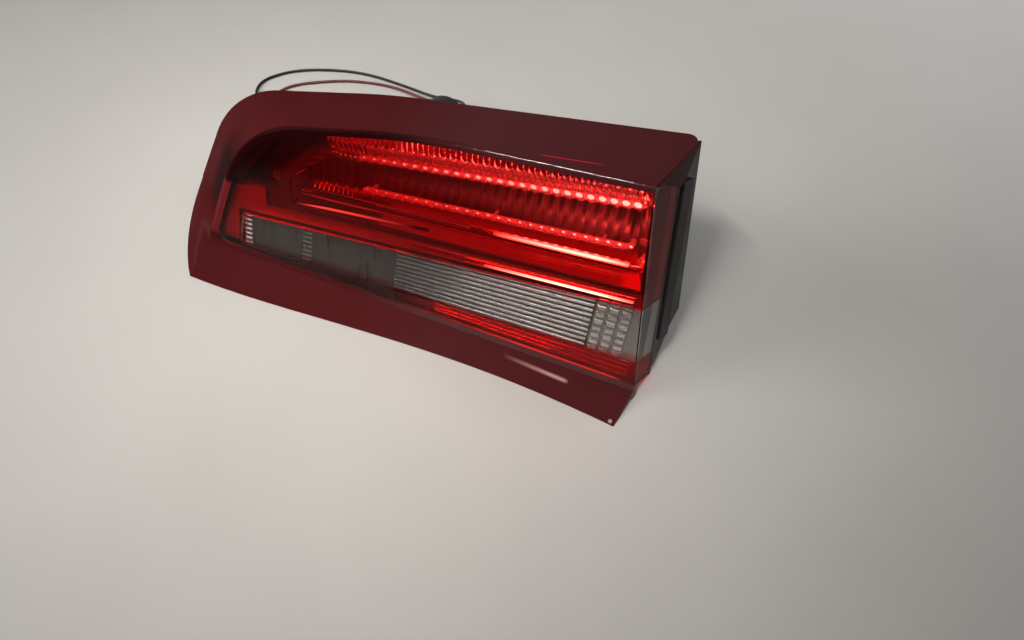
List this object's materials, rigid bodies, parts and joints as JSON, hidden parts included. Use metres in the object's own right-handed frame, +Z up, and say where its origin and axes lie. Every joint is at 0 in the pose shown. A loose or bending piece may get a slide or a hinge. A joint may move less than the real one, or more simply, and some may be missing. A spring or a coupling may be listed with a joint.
{
  "type": "tail light cluster",
  "caption": "Vehicle tail light cluster with a burgundy and red lens, a clear reverse strip, bright fluted inner optics, a black rear housing and two loose leads.",
  "frame": {"origin": "middle of the lamp's box, on the table it stands on", "axes": "+X along the lamp to its straight right end, +Y to its back, +Z up"},
  "size_m": [0.3352, 0.2008, 0.1125],
  "materials": {
    "band_lens": "gloss",
    "red_lens": "gloss",
    "clear_lens": "gloss",
    "housing_black": "satin",
    "bezel_black": "satin",
    "bright_trough": "gloss",
    "bright_panel": "satin",
    "guide_clear": "gloss",
    "optic_grey": "gloss",
    "board_green": "satin",
    "led_white": "satin",
    "chip_black": "satin",
    "screw_steel": "satin",
    "stud_steel": "satin",
    "sealant_black": "matte",
    "foam_black": "matte",
    "rubber_black": "matte",
    "lead_black": "satin",
    "lead_red": "satin",
    "plug_grey": "satin"
  },
  "bodies": {
    "root": {"lens_band": "band_lens", "window_lens": "red_lens", "reverse_lens": "clear_lens", "housing": "housing_black", "bezel": "bezel_black", "tail_reflector": "bright_trough", "upper_light_guide": "guide_clear", "lower_light_guide": "guide_clear", "tail_led_board": "board_green", "tail_leds": "led_white", "reverse_reflector": "bright_panel", "reverse_optic": "optic_grey", "reverse_led_board": "board_green", "reverse_leds": "led_white", "driver_board": "board_green", "driver_parts": "chip_black", "board_screws": "screw_steel", "bezel_screw": "screw_steel", "lens_sealant": "sealant_black", "rear_gasket": "foam_black", "end_gasket": "rubber_black", "mounting_studs": "stud_steel", "vent_cap": "rubber_black", "wire_boot": "rubber_black", "black_wire": "lead_black", "red_wire": "lead_red", "wire_connector": "plug_grey"}
  },
  "joints": []
}
